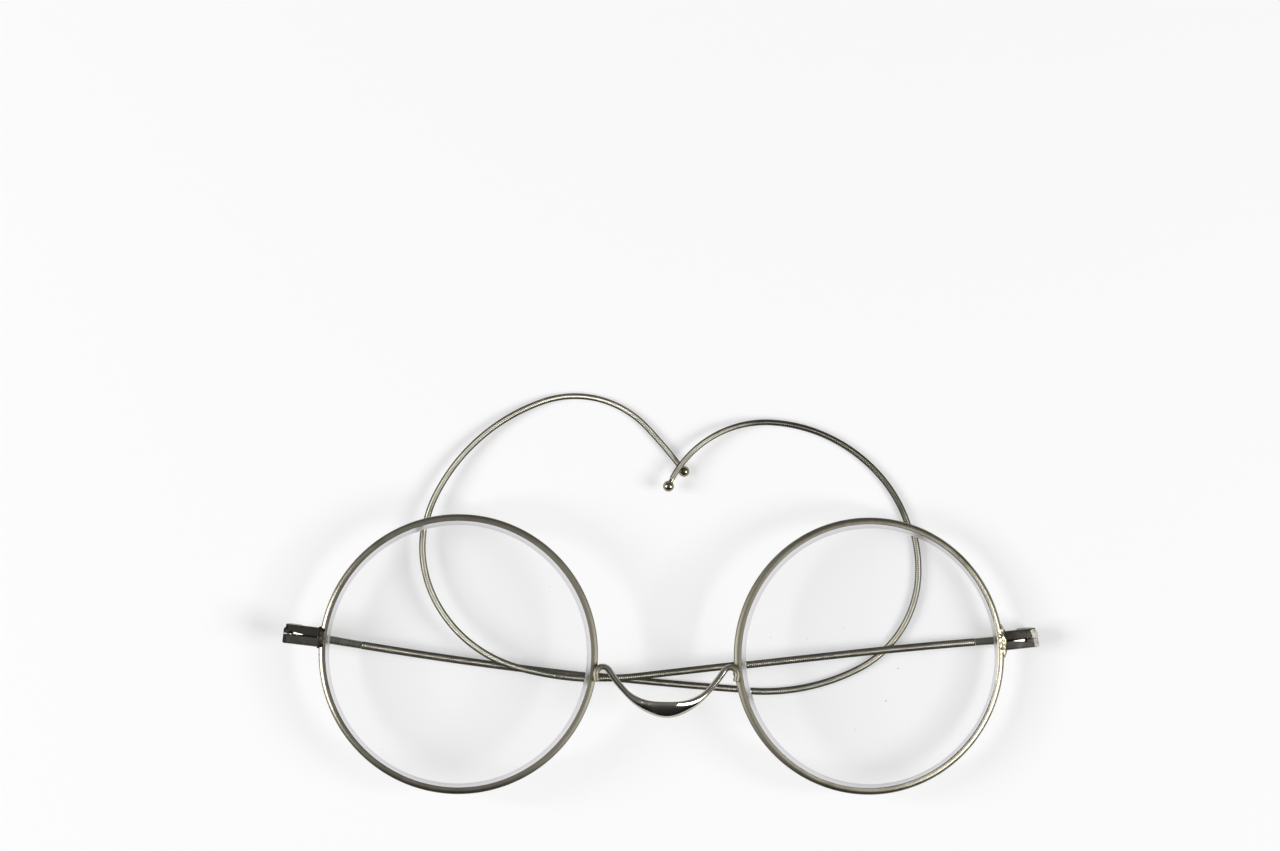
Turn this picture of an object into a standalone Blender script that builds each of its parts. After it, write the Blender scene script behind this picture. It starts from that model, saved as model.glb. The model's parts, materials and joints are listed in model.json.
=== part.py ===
"""Round wire-rim spectacles: clear lenses, a saddle bridge and cable temples that curl round the ear.

The pair lies folded on a table with its front up, the left temple crossing under the right one.
Metres, +Z up, +X along the front, +Y towards the ear curls. The origin is under the middle of the
whole pair, on the table. Each temple turns on its own hinge empty.
"""

import math

import bmesh
import bpy
from mathutils import Matrix, Vector

MM = 0.001

# Rims and lenses
RIM_DIAMETER = 43.5 * MM
RIM_WIDTH = 1.05 * MM
RIM_DEPTH = 1.3 * MM
RIM_FLANK = 0.47 * MM
RIM_CREST = 0.65 * MM
GROOVE_DEPTH = 0.4 * MM
LENS_EDGE = 1.9 * MM
LENS_BEVEL = 1.25 * MM
LENS_CROWN = 0.3 * MM
LENS_PLAY = 0.1 * MM
CENTRE_DISTANCE = 64.9 * MM
FACE_FORM = math.radians(5.0)

# End pieces and hinges
END_RISE = math.radians(6.3)
END_REACH = 5.7 * MM
END_HEIGHT = 3.0 * MM
END_PLATE = 1.5 * MM
END_PROUD = 0.85 * MM
END_CORNER = 0.6 * MM
CLOSING_SLIT = 0.16 * MM
SOLDER_GAP = 0.1 * MM
HINGE_INSET = 1.4 * MM
HINGE_SETBACK = 2.3 * MM
KNUCKLE_DIAMETER = 2.3 * MM
EYE_HEIGHT = 1.0 * MM
HINGE_PLAY = 0.06 * MM
SCREW_DIAMETER = 0.84 * MM
SCREW_HEAD_DIAMETER = 1.5 * MM
SCREW_HEAD_HEIGHT = 0.3 * MM
SCREW_SLOT = 0.25 * MM

# Bridge, from the cut foot round the hook, past its seat on the rim, and down the leg to the saddle
BRIDGE_WIRE = 1.0 * MM
BRIDGE_LEG_WIRE = 0.95 * MM
BRIDGE_SEAT_DROP = 2.77 * MM
BRIDGE_SEAT_INSET = 0.12 * MM
BRIDGE_FOOT = 0.9 * MM
BRIDGE_FOOT_TURN = math.radians(19)
BRIDGE_HOOK_RADIUS = 1.12 * MM
BRIDGE_HOOK_TURN = math.radians(140)
BRIDGE_LEG = 4.1 * MM
BRIDGE_LEG_TURN = math.radians(10.5)
SADDLE_BOW = 1.45 * MM
SADDLE_WIDTH = 2.8 * MM
SADDLE_THICKNESS = 0.95 * MM
SADDLE_TILT = math.radians(-34)

# Temples: each bend is a length, a turn towards the ear and a turn away from the table, in degrees
LEFT_BENDS = (
    (3.0 * MM, -3.5, 0.0),
    (35.0 * MM, 3.0, 0.0),
    (34.0 * MM, 3.0, 4.7),
    (18.0 * MM, 31.0, 0.0),
    (19.0 * MM, 62.5, 0.0),
    (17.0 * MM, 43.0, 0.0),
    (19.5 * MM, 44.5, 5.0),
    (21.5 * MM, 72.0, 4.0),
)
RIGHT_BENDS = (
    (3.0 * MM, 2.0, 0.0),
    (27.0 * MM, -2.0, 0.0),
    (32.0 * MM, -0.5, 0.0),
    (19.0 * MM, 21.5, 0.0),
    (17.0 * MM, 46.5, 0.0),
    (17.5 * MM, 55.0, 0.0),
    (23.0 * MM, 44.0, 0.0),
    (18.0 * MM, 66.0, 0.0),
    (10.0 * MM, 7.0, 0.0),
)
LEFT_FOLD = math.radians(7.9)
RIGHT_FOLD = math.radians(4.8)
LEFT_TWIST = math.radians(1.4)
RIGHT_TWIST = math.radians(-2.5)
LEFT_BUTT_LENGTH = 10.8 * MM
RIGHT_BUTT_LENGTH = 8.4 * MM
BUTT_NECK = 0.3 * MM
BUTT_THICK = 1.36 * MM
BUTT_THIN = 1.05 * MM
WINDING_DIAMETER = 1.15 * MM
WINDING_END_DIAMETER = 0.82 * MM
WINDING_WALL = 0.22 * MM
CORE_PLAY = 0.05 * MM
TIP_NECK = 0.7 * MM
TIP_BALL = 1.6 * MM
TIP_LENGTH = 2.2 * MM
END_GAP = 0.1 * MM

# How the pair lies
REST_ROLL = math.radians(1.5)
REST_PITCH = math.radians(2.0)

# Facets
RIM_STEPS = 48
LENS_RINGS = 3
ROD_SIDES = 16
BRIDGE_SIDES = 10
HOOK_STEPS = 8
LEG_STEPS = 5
SADDLE_STEPS = 8
SHANK_SIDES = 12
SHANK_STEPS = 3
WINDING_SIDES = 8
CORE_SIDES = 6
BALL_STEPS = 8
CURL_STEP = 3.4 * MM
CORNER_ANGLE = math.radians(40)

RIM_RADIUS = RIM_DIAMETER / 2
RIM_INNER = RIM_RADIUS - RIM_WIDTH
AXIS_REACH = RIM_RADIUS + END_REACH - HINGE_INSET
KNUCKLE_RADIUS = KNUCKLE_DIAMETER / 2
BORE_RADIUS = SCREW_DIAMETER / 2 + HINGE_PLAY
SIDES = {"left": -1, "right": 1}


def clear_scene():
    for thing in list(bpy.data.objects):
        bpy.data.objects.remove(thing)


def material(name, colour, roughness, metallic, transmission=0.0):
    made = bpy.data.materials.new(name)
    made.use_nodes = True
    shader = made.node_tree.nodes["Principled BSDF"]
    shader.inputs["Base Color"].default_value = (*colour, 1.0)
    shader.inputs["Roughness"].default_value = roughness
    shader.inputs["Metallic"].default_value = metallic
    shader.inputs["Transmission Weight"].default_value = transmission
    return made


def finish(bm, name, parent, made_of):
    """Closes a mesh into a named object under its parent, shaded smooth but for its corners."""
    bmesh.ops.recalc_face_normals(bm, faces=bm.faces)
    mesh = bpy.data.meshes.new(name)
    bm.to_mesh(mesh)
    bm.free()
    mesh.shade_smooth()
    mesh.set_sharp_from_angle(angle=CORNER_ANGLE)
    thing = bpy.data.objects.new(name, mesh)
    bpy.context.collection.objects.link(thing)
    thing.parent = parent
    if made_of:
        mesh.materials.append(made_of)
    return thing


def empty(name, parent, matrix):
    thing = bpy.data.objects.new(name, None)
    bpy.context.collection.objects.link(thing)
    thing.parent = parent
    thing.matrix_local = matrix
    return thing


def combine(target, helper, operation):
    """Joins a helper to a piece or cuts it out, and leaves the helper out of the render."""
    helper.hide_render = True
    helper.display_type = "WIRE"
    step = target.modifiers.new(helper.name, "BOOLEAN")
    step.operation = operation
    step.solver = "EXACT"
    step.object = helper


def loft(rings, closed=False):
    """A skin over a row of cross sections, each a list of points, with its two ends filled."""
    bm = bmesh.new()
    rows = [[bm.verts.new(point) for point in ring] for ring in rings]
    pairs = list(zip(rows, rows[1:]))
    if closed:
        pairs.append((rows[-1], rows[0]))
    else:
        bm.faces.new(rows[0])
        bm.faces.new(rows[-1])
    for first, second in pairs:
        for i in range(len(first)):
            bm.faces.new((first[i - 1], first[i], second[i], second[i - 1]))
    return bm


def circle(radius, sides):
    return [
        (radius * math.cos(math.tau * i / sides), radius * math.sin(math.tau * i / sides))
        for i in range(sides)
    ]


def prism(outline, low, high, plane):
    """An outline extruded from low to high. The plane's function turns (a, b, height) into a point."""
    return loft([[plane(a, b, height) for a, b in outline] for height in (low, high)])


def along_axis(side):
    """Outline in (outward, front), extruded along the hinge axis."""
    return lambda outward, front, height: (side * outward, height, front)


def rod(radius, low, high, side):
    return prism(circle(radius, ROD_SIDES), low, high, along_axis(side))


def arc(run, turn, bow):
    """The frame at the end of a steady bend of a wire that starts along +X."""
    angle = math.hypot(turn, bow)
    if angle < 1e-9:
        return Matrix.Translation((run, 0, 0))
    axis = Vector((0, -bow, turn)) / angle
    ahead = Vector((1, 0, 0))
    place = (run / angle) * (math.sin(angle) * ahead + (1 - math.cos(angle)) * axis.cross(ahead))
    return Matrix.Translation(place) @ Matrix.Rotation(angle, 4, axis)


def on_wire(bends, distance):
    """The frame on a bent wire at a distance from its start."""
    frame = Matrix.Identity(4)
    for length, turn, bow in bends:
        run = min(length, distance)
        share = run / length
        frame = frame @ arc(run, math.radians(turn) * share, math.radians(bow) * share)
        distance -= run
    return frame


def section(frame, half_across, half_up, sides, side=-1):
    """An ellipse round a wire, mirrored for the right side."""
    ring = []
    for across, up in circle(1.0, sides):
        point = frame @ Vector((0, half_across * across, half_up * up))
        ring.append((-side * point.x, point.y, point.z))
    return ring


def stations(low, high):
    """Distances from low to high, a curl step or less apart."""
    count = max(1, math.ceil((high - low) / CURL_STEP))
    return [low + (high - low) * i / count for i in range(count + 1)]


def rim(name, side, parent, metal):
    """A grooved wire bent round the lens, open by the closing slit at the end piece."""
    half = RIM_DEPTH / 2
    lip = LENS_EDGE / 2 * GROOVE_DEPTH / LENS_BEVEL + LENS_PLAY
    profile = [
        (RIM_INNER, lip),
        (RIM_INNER, half),
        (RIM_INNER + RIM_FLANK, half),
        (RIM_RADIUS, RIM_CREST / 2),
        (RIM_RADIUS, -RIM_CREST / 2),
        (RIM_INNER + RIM_FLANK, -half),
        (RIM_INNER, -half),
        (RIM_INNER, -lip),
        (RIM_INNER + GROOVE_DEPTH, 0),
    ]
    slit = math.asin(CLOSING_SLIT / 2 / RIM_RADIUS)
    rings = []
    for i in range(RIM_STEPS + 1):
        angle = END_RISE + slit + (math.tau - 2 * slit) * i / RIM_STEPS
        rings.append(
            [(side * r * math.cos(angle), r * math.sin(angle), z) for r, z in profile]
        )
    return finish(loft(rings), name, parent, metal)


def lens(name, parent, glass):
    """A disc of glass, crowned on both faces, with a bevel that sits in the rim's groove."""
    edge = RIM_INNER + GROOVE_DEPTH - LENS_PLAY
    face = edge - LENS_BEVEL
    half = LENS_EDGE / 2
    shares = [(i + 1) / LENS_RINGS for i in range(LENS_RINGS)]
    front = [(face * s, half + LENS_CROWN * (1 - s * s)) for s in shares]
    profile = front + [(edge, 0)] + [(r, -z) for r, z in reversed(front)]
    rings = [[(x, y, z) for x, y in circle(r, RIM_STEPS)] for r, z in profile]
    return finish(loft(rings), name, parent, glass)


def end_piece(name, side, up, parent, metal):
    """Half of a closing block: a front plate soldered to the rim, turned back into a hinge knuckle."""
    inner = -(AXIS_REACH - RIM_RADIUS) + SOLDER_GAP
    front = HINGE_SETBACK + END_PROUD
    back = front - END_PLATE
    top = END_HEIGHT / 2
    outline = [
        (inner, CLOSING_SLIT / 2),
        (HINGE_INSET, CLOSING_SLIT / 2),
        (HINGE_INSET, top - END_CORNER),
        (HINGE_INSET - END_CORNER, top),
        (inner, top),
    ]
    plate = prism(outline, back, front, lambda u, v, w: (side * u, up * v, w))
    piece = finish(plate, name, parent, metal)
    into_plate = (back + front) / 2
    knuckle = [(KNUCKLE_RADIUS, into_plate), (-KNUCKLE_RADIUS, into_plate)]
    half_round = ROD_SIDES // 2
    for i in range(half_round + 1):
        angle = math.pi + math.pi * i / half_round
        knuckle.append((KNUCKLE_RADIUS * math.cos(angle), KNUCKLE_RADIUS * math.sin(angle)))
    low = EYE_HEIGHT / 2 + HINGE_PLAY
    lug = prism(knuckle, up * low, up * top, along_axis(side))
    combine(piece, finish(lug, name + "_lug", parent, None), "UNION")
    bore = rod(BORE_RADIUS, up * low / 2, up * END_HEIGHT, side)
    combine(piece, finish(bore, name + "_bore", parent, None), "DIFFERENCE")
    if up < 0:
        seat = top - SCREW_HEAD_HEIGHT - HINGE_PLAY
        sink = rod(SCREW_HEAD_DIAMETER / 2 + HINGE_PLAY, -END_HEIGHT, -seat, side)
        combine(piece, finish(sink, name + "_sink", parent, None), "DIFFERENCE")
    return piece


def hinge_screw(name, side, parent, metal):
    """A slotted screw along the hinge axis, its head sunk in the lower knuckle."""
    foot = -END_HEIGHT / 2
    shoulder = foot + SCREW_HEAD_HEIGHT
    profile = [
        (SCREW_HEAD_DIAMETER / 2, foot),
        (SCREW_HEAD_DIAMETER / 2, shoulder),
        (SCREW_DIAMETER / 2, shoulder),
        (SCREW_DIAMETER / 2, END_HEIGHT / 2),
    ]
    rings = [[(side * x, height, z) for x, z in circle(r, ROD_SIDES)] for r, height in profile]
    screw = finish(loft(rings), name, parent, metal)
    half = SCREW_SLOT / 2
    long = SCREW_HEAD_DIAMETER
    outline = [(-long, -half), (long, -half), (long, half), (-long, half)]
    depth = SCREW_HEAD_HEIGHT / 2
    slot = prism(outline, foot - depth, foot + depth, along_axis(side))
    combine(screw, finish(slot, name + "_slot", parent, None), "DIFFERENCE")
    return screw


def height_on_rim(reach, wire):
    """How far ahead of the rim's middle a wire lies that rests on the rim's front flank."""
    drop = (RIM_DEPTH - RIM_CREST) / 2
    run = RIM_WIDTH - RIM_FLANK
    slant = math.hypot(run, drop)
    out = reach - RIM_INNER - RIM_FLANK
    return RIM_DEPTH / 2 + ((wire + SOLDER_GAP) * slant - out * drop) / run


def bridge(parent, metal):
    """One wire from rim to rim: feet soldered on, hooks, legs and a saddle beaten flat for the nose."""
    wire = BRIDGE_WIRE / 2
    reach = RIM_RADIUS - BRIDGE_SEAT_INSET
    below = math.asin(BRIDGE_SEAT_DROP / reach)
    place = Vector((-reach * math.cos(below), -BRIDGE_SEAT_DROP, height_on_rim(reach, wire)))
    heading = math.pi / 2 + below
    seat = Matrix.Translation(eye_frame(1) @ place) @ Matrix.Rotation(heading, 4, "Z")
    before_seat = BRIDGE_HOOK_RADIUS * BRIDGE_FOOT_TURN
    whole_turn = BRIDGE_FOOT_TURN + BRIDGE_HOOK_TURN
    bends = [
        (BRIDGE_FOOT, 0.0),
        (BRIDGE_HOOK_RADIUS * whole_turn, whole_turn),
        (BRIDGE_LEG, -BRIDGE_LEG_TURN),
    ]
    frame = seat @ arc(before_seat, BRIDGE_FOOT_TURN, 0).inverted() @ Matrix.Translation((-BRIDGE_FOOT, 0, 0))
    path = [(frame, wire, wire)]
    leg = BRIDGE_LEG_WIRE / 2
    for (length, turn), thick, steps in zip(bends, (wire, wire, leg), (1, HOOK_STEPS, LEG_STEPS)):
        before = path[-1][1]
        for i in range(1, steps + 1):
            size = before + (thick - before) * i / steps
            path.append((frame @ arc(length * i / steps, turn * i / steps, 0), size, size))
        frame = frame @ arc(length, turn, 0)
    # The saddle is the arc that brings the leg level at the middle of the nose, bowed forward on its way
    slope = heading + BRIDGE_HOOK_TURN - BRIDGE_LEG_TURN - math.pi
    run = frame.translation.x / math.sin(slope) * slope
    for i in range(1, SADDLE_STEPS + 1):
        share = i / SADDLE_STEPS
        ease = share * share * (3 - 2 * share)
        rise = Matrix.Translation((0, 0, SADDLE_BOW * (1 - math.cos(math.pi * share)) / 2))
        climb = math.atan(SADDLE_BOW * math.pi / 2 * math.sin(math.pi * share) / run)
        turned = rise @ frame @ arc(run * share, -slope * share, 0) @ Matrix.Rotation(-climb, 4, "Y")
        across = leg + (SADDLE_WIDTH / 2 - leg) * ease
        thick = leg + (SADDLE_THICKNESS / 2 - leg) * ease
        tilt = Matrix.Rotation(SADDLE_TILT * math.sin(math.pi / 2 * min(1.0, 1.5 * share)), 4, "X")
        path.append((turned @ tilt, across, thick))
    right = [section(frame, across, thick, BRIDGE_SIDES) for frame, across, thick in path]
    left = [[(-x, y, z) for x, y, z in ring] for ring in reversed(right[:-1])]
    return finish(loft(right + left), "bridge", parent, metal)


def temple_butt(name, side, bends, twist, length, parent, metal):
    """The hinge eye and the smooth tapered shank that carries the cable."""
    eye = finish(rod(KNUCKLE_RADIUS, -EYE_HEIGHT / 2, EYE_HEIGHT / 2, side), name, parent, metal)
    root = (BORE_RADIUS + KNUCKLE_RADIUS) / 2
    clear = KNUCKLE_RADIUS + BUTT_NECK
    flat = EYE_HEIGHT / 2 - HINGE_PLAY
    sizes = [(root, flat, flat), (clear, flat, BUTT_THICK / 2)]
    start = KNUCKLE_DIAMETER
    for i in range(SHANK_STEPS + 1):
        share = i / SHANK_STEPS
        thick = BUTT_THICK + (BUTT_THIN - BUTT_THICK) * share
        sizes.append((start + (length - start) * share, thick / 2, thick / 2))
    turn = Matrix.Rotation(twist, 4, "X")
    rings = []
    for distance, across, up in sizes:
        rings.append(section(turn @ on_wire(bends, distance), across, up, SHANK_SIDES, side))
    combine(eye, finish(loft(rings), name + "_shank", parent, None), "UNION")
    bore = rod(BORE_RADIUS, -EYE_HEIGHT, EYE_HEIGHT, side)
    combine(eye, finish(bore, name + "_bore", parent, None), "DIFFERENCE")
    return eye


def temple_cable(name, side, bends, twist, butt, parent, metal):
    """The tapered core wire, the winding round it as a tube of its outer size, and the ball tip."""
    turn = Matrix.Rotation(twist, 4, "X")
    whole = sum(length for length, *_ in bends)
    start = butt + END_GAP
    stop = whole - TIP_LENGTH

    def ring(distance, radius, sides):
        return section(turn @ on_wire(bends, distance), radius, radius, sides, side)

    def tube(places, inset, sides):
        rings = []
        for place in places:
            share = (place - start) / (stop - start)
            across = WINDING_DIAMETER + (WINDING_END_DIAMETER - WINDING_DIAMETER) * share
            rings.append(ring(place, across / 2 - inset, sides))
        return rings

    places = stations(start, stop)
    core = tube(places, WINDING_WALL + CORE_PLAY, CORE_SIDES)
    finish(loft(core), name + "_core", parent, metal["core"])
    skin = tube(places, 0, WINDING_SIDES) + tube(reversed(places), WINDING_WALL, WINDING_SIDES)
    finish(loft(skin, closed=True), name + "_winding", parent, metal["winding"])
    ball = TIP_BALL / 2
    middle = whole - ball
    meets = math.asin(TIP_NECK / TIP_BALL)
    sizes = [(stop + END_GAP, TIP_NECK / 2)]
    last = math.pi - math.pi / BALL_STEPS / 4
    for i in range(BALL_STEPS + 1):
        angle = meets + (last - meets) * i / BALL_STEPS
        sizes.append((middle - ball * math.cos(angle), ball * math.sin(angle)))
    tip = [ring(place, radius, SHANK_SIDES) for place, radius in sizes]
    finish(loft(tip), name + "_tip", parent, metal["tip"])


def eye_frame(side):
    """Where a lens sits: out along the front and turned back by the face form."""
    turn = Matrix.Rotation(side * FACE_FORM, 4, "Y")
    return turn @ Matrix.Translation((side * CENTRE_DISTANCE / 2, 0, 0))


def hinge_frame(side):
    """On the hinge axis, +Y along it, from the lens centre out through the end piece."""
    turn = Matrix.Rotation(side * END_RISE, 4, "Z")
    return turn @ Matrix.Translation((side * AXIS_REACH, 0, -HINGE_SETBACK))


def set_down(root):
    """Moves the pair so that it stands on the table with the origin under its middle."""
    bpy.context.view_layer.update()
    graph = bpy.context.evaluated_depsgraph_get()
    points = []
    for thing in bpy.data.objects:
        if thing.type == "MESH" and not thing.hide_render:
            shown = thing.evaluated_get(graph)
            points += [shown.matrix_world @ vertex.co for vertex in shown.data.vertices]
    low = Vector(min(point[i] for point in points) for i in range(3))
    high = Vector(max(point[i] for point in points) for i in range(3))
    root.location = -Vector(((low.x + high.x) / 2, (low.y + high.y) / 2, low.z))
    bpy.context.view_layer.update()


def build():
    clear_scene()
    nickel = (0.55, 0.53, 0.48)
    lay = Matrix.Rotation(-REST_PITCH, 4, "X") @ Matrix.Rotation(REST_ROLL, 4, "Y")
    root = empty("spectacles", None, lay)
    temples = {
        "left": (LEFT_BENDS, LEFT_FOLD, LEFT_TWIST, LEFT_BUTT_LENGTH),
        "right": (RIGHT_BENDS, RIGHT_FOLD, RIGHT_TWIST, RIGHT_BUTT_LENGTH),
    }
    bridge(root, material("bridge_nickel_silver", nickel, 0.22, 1.0))
    for word, side in SIDES.items():
        eye = empty(word + "_eye", root, eye_frame(side))
        hinge = empty(word + "_hinge", eye, hinge_frame(side))
        rim(word + "_rim", side, eye, material(word + "_rim_nickel_silver", nickel, 0.25, 1.0))
        lens(word + "_lens", eye, material(word + "_glass", (0.95, 0.97, 0.96), 0.02, 0.0, 1.0))
        for half, up in (("upper", 1), ("lower", -1)):
            block = f"{word}_end_piece_{half}"
            end_piece(block, side, up, hinge, material(block + "_nickel_silver", nickel, 0.25, 1.0))
        hinge_screw(word + "_hinge_screw", side, hinge, material(word + "_steel", nickel, 0.3, 1.0))
        bends, fold, twist, butt = temples[word]
        folded = Matrix.Rotation(-side * fold, 4, "Y")
        temple = empty(word + "_temple", hinge, folded)
        shank = material(word + "_shank_nickel_silver", nickel, 0.25, 1.0)
        temple_butt(word + "_temple_butt", side, bends, twist, butt, temple, shank)
        cable = {
            "core": material(word + "_core_wire", nickel, 0.4, 1.0),
            "winding": material(word + "_winding_wire", nickel, 0.35, 1.0),
            "tip": material(word + "_tip_nickel_silver", nickel, 0.2, 1.0),
        }
        temple_cable(word + "_temple", side, bends, twist, butt, temple, cable)
    set_down(root)


build()
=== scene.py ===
"""Round wire-rim spectacles with clear lenses, a saddle bridge and cable temples, lying folded.

Metres, +Z up. The pair lies with its front up and its ear curls towards +Y.
"""

import json
import math

import bpy
from mathutils import Matrix, Vector, noise


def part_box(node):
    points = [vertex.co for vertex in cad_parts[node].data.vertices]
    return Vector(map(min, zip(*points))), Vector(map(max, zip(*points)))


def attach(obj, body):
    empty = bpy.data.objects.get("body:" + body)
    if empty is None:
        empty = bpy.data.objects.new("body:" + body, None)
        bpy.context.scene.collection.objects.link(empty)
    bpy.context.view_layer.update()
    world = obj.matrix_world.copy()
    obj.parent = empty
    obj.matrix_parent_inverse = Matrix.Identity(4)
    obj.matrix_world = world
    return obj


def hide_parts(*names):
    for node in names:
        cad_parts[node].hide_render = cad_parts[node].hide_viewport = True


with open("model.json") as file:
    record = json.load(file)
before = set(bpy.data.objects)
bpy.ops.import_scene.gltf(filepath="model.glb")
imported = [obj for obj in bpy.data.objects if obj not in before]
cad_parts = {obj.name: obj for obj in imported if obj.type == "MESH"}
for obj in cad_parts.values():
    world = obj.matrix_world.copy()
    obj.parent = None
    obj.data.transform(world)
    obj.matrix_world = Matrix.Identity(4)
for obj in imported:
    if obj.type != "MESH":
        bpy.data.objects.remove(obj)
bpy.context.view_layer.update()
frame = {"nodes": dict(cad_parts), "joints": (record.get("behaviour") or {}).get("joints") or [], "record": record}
bpy.ops.object.select_all(action="DESELECT")

# Rims: one grooved nickel silver wire round each lens. The wire is drawn through a die that rounds its
# outside and cuts the groove, then bent round a former. Its ends stop a hair's breadth apart at the
# end piece.
MM = 0.001
SIDES = {"left": -1, "right": 1}
RIM_RADIUS = 21.75 * MM
RIM_WIDTH = 1.05 * MM
RIM_DEPTH = 1.3 * MM
RIM_LIP = 0.4 * MM
RIM_FLAT = 0.35 * MM
RIM_CHAMFER = 0.08 * MM
RIM_CROWN = math.radians(48)
CROWN_STEPS = 12
GROOVE_DEPTH = 0.4 * MM
CLOSING_SLIT = 0.16 * MM
END_RISE = math.radians(6.3)
RIM_STEPS = 224
CORNER_ANGLE = math.radians(40)
WELD = 0.001 * MM
STAIN_SPAN = 4 * MM
RUB_SPAN = 1.4 * MM
DENT_SPAN = 1.6 * MM
DENT_DEPTH = 0.012 * MM
HAIR_SPAN = 0.4 * MM
HAIR_DEPTH = 0.002 * MM
RIM_DENTS = 0.35
NOSE_NEAR = 14 * MM
NOSE_FAR = 27 * MM


def hinge_frame(word):
    """On the hinge's axis: +Y along it, +Z out of the front of the end piece."""
    joint = next(j for j in frame["joints"] if j["name"] == word + "_temple_hinge")
    face = next(m for m in frame["record"]["mounts"] if m["name"] == word + "_end_face")
    front = Vector(face["axis"]).normalized()
    along = (Vector(joint["axis"]) * -SIDES[word]).normalized()
    made = Matrix((along.cross(front), along, front)).transposed().to_4x4()
    made.translation = Vector(joint["pos_m"])
    return made


def eye_frame(word):
    """At the middle of the lens: +X along the front, +Z out of the lens."""
    low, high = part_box(word + "_lens")
    made = hinge_frame(word) @ Matrix.Rotation(-SIDES[word] * END_RISE, 4, "Z")
    made.translation = (low + high) / 2
    return made


def spun(name, section, steps, angle=math.tau):
    """Draws a cross section point by point in the XZ plane and spins it round the Z axis."""
    bpy.ops.object.select_all(action="DESELECT")
    bpy.ops.mesh.primitive_plane_add(size=MM)
    piece = bpy.context.object
    piece.name = name
    bpy.ops.object.mode_set(mode="EDIT")
    bpy.ops.mesh.merge(type="CENTER")
    here = Vector((0, 0, 0))
    for index, (across, up) in enumerate(section):
        step = Vector((across, 0, up)) - here
        if index == 0:
            bpy.ops.transform.translate(value=step)
        else:
            bpy.ops.mesh.extrude_vertices_move(TRANSFORM_OT_translate={"value": step})
        here = here + step
    bpy.ops.mesh.select_all(action="SELECT")
    bpy.ops.mesh.spin(steps=steps, angle=angle, center=(0, 0, 0), axis=(0, 0, 1))
    bpy.ops.mesh.select_all(action="SELECT")
    bpy.ops.mesh.remove_doubles(threshold=WELD)
    bpy.ops.mesh.fill_holes(sides=0)
    bpy.ops.mesh.normals_make_consistent(inside=False)
    bpy.ops.object.mode_set(mode="OBJECT")
    return piece


def seat(piece, place, body, slot, finish, *nodes, corner=CORNER_ANGLE):
    """Moves a finished mesh to its place, gives it its finish and hands it to its body."""
    bpy.ops.object.select_all(action="DESELECT")
    piece.select_set(True)
    bpy.context.view_layer.objects.active = piece
    bpy.ops.object.transform_apply(location=True, rotation=True, scale=True)
    piece.data.transform(place)
    bpy.ops.object.shade_smooth_by_angle(angle=corner)
    piece.data.materials.clear()
    piece.data.materials.append(finish)
    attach(piece, body)
    if nodes:
        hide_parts(*nodes)


def linear(code):
    """A hex sRGB colour as a linear RGBA value."""
    parts = [int(code[i : i + 2], 16) / 255 for i in (1, 3, 5)]
    return [c / 12.92 if c <= 0.04045 else ((c + 0.055) / 1.055) ** 2.4 for c in parts] + [1.0]


def add(tree, kind, settings=None, links=None):
    """Adds a node, sets its properties and sockets by name, and links sockets from other nodes."""
    node = tree.nodes.new(kind)
    for key, value in (settings or {}).items():
        if hasattr(node, key):
            setattr(node, key, value)
        else:
            node.inputs[key].default_value = value
    for key, source in (links or {}).items():
        tree.links.new(source, node.inputs[key])
    return node


def nickel_silver(name, bright, dull, polish, scuff=0.12, dents=1.0):
    """Old nickel silver: a warm grey mirror, uneven, with faint brown stains, scuffs and hair scratches.

    Scuff is how much rougher the rubbed patches are, and dents scales the unevenness.
    """
    metal = bpy.data.materials.new(name)
    metal.use_nodes = True
    tree = metal.node_tree
    shader = tree.nodes["Principled BSDF"]
    shader.inputs["Metallic"].default_value = 1.0
    shader.inputs["Specular Tint"].default_value = linear("#7B776D")
    coords = add(tree, "ShaderNodeTexCoord").outputs["Object"]
    stain = add(tree, "ShaderNodeTexNoise", {"Scale": 1 / STAIN_SPAN, "Detail": 6.0, "Roughness": 0.65},
                {"Vector": coords})
    tint = add(tree, "ShaderNodeValToRGB", None, {"Fac": stain.outputs["Fac"]})
    tint.color_ramp.elements[0].position = 0.42
    tint.color_ramp.elements[0].color = linear(bright)
    tint.color_ramp.elements[1].position = 0.8
    tint.color_ramp.elements[1].color = linear(dull)
    tree.links.new(tint.outputs["Color"], shader.inputs["Base Color"])
    rub = add(tree, "ShaderNodeTexNoise", {"Scale": 1 / RUB_SPAN, "Detail": 3.0}, {"Vector": coords})
    rough = add(tree, "ShaderNodeMapRange",
                {"From Min": 0.45, "From Max": 0.7, "To Min": polish, "To Max": polish + scuff},
                {"Value": rub.outputs["Fac"]})
    tree.links.new(rough.outputs["Result"], shader.inputs["Roughness"])
    dent = add(tree, "ShaderNodeTexNoise", {"Scale": 1 / DENT_SPAN, "Detail": 1.0}, {"Vector": coords})
    uneven = add(tree, "ShaderNodeBump", {"Distance": DENT_DEPTH * dents},
                 {"Height": dent.outputs["Fac"]})
    hair = add(tree, "ShaderNodeTexNoise", {"Scale": 1 / HAIR_SPAN, "Detail": 2.0, "Distortion": 1.0},
               {"Vector": coords})
    bump = add(tree, "ShaderNodeBump", {"Distance": HAIR_DEPTH * dents},
               {"Height": hair.outputs["Fac"], "Normal": uneven.outputs["Normal"]})
    tree.links.new(bump.outputs["Normal"], shader.inputs["Normal"])
    return metal


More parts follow.
